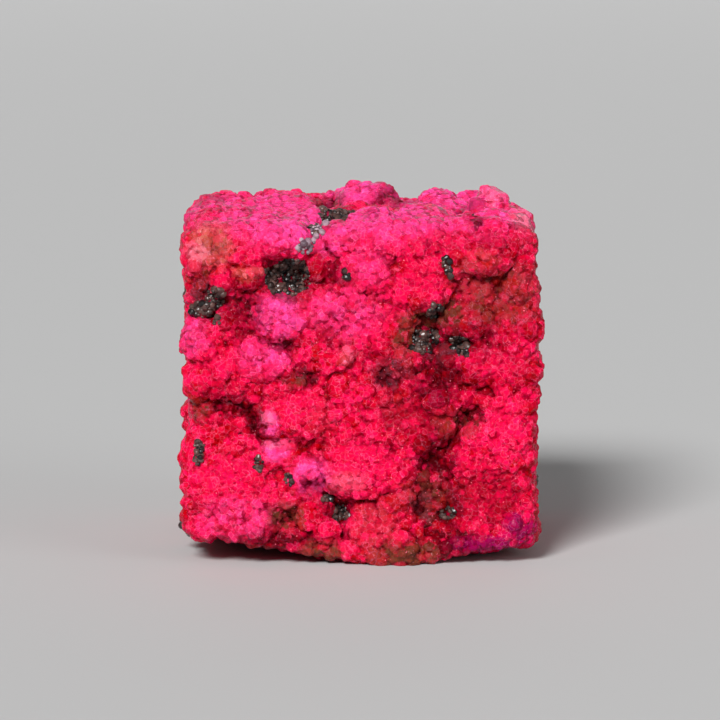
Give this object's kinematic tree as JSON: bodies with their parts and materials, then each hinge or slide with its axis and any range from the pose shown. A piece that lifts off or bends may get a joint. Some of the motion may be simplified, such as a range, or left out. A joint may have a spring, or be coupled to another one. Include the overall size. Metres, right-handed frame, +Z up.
{
  "type": "rough ruby specimen",
  "caption": "Rough, roughly cubic lump of granular red-pink ruby with dark mineral pockets, for display on a flat surface.",
  "frame": {"origin": "on the ground, under the middle of the block", "axes": "+Z up; the broad front that faces the viewer looks along -Y; +X is to the viewer's right"},
  "size_m": [0.0398, 0.0404, 0.039],
  "materials": {
    "ruby": "glassy granular crystal, translucent",
    "black_inclusions": "glossy black mineral grains",
    "pale_inclusions": "grey-white translucent mineral grains"
  },
  "bodies": {
    "root": {"ruby": "ruby"}
  },
  "joints": []
}
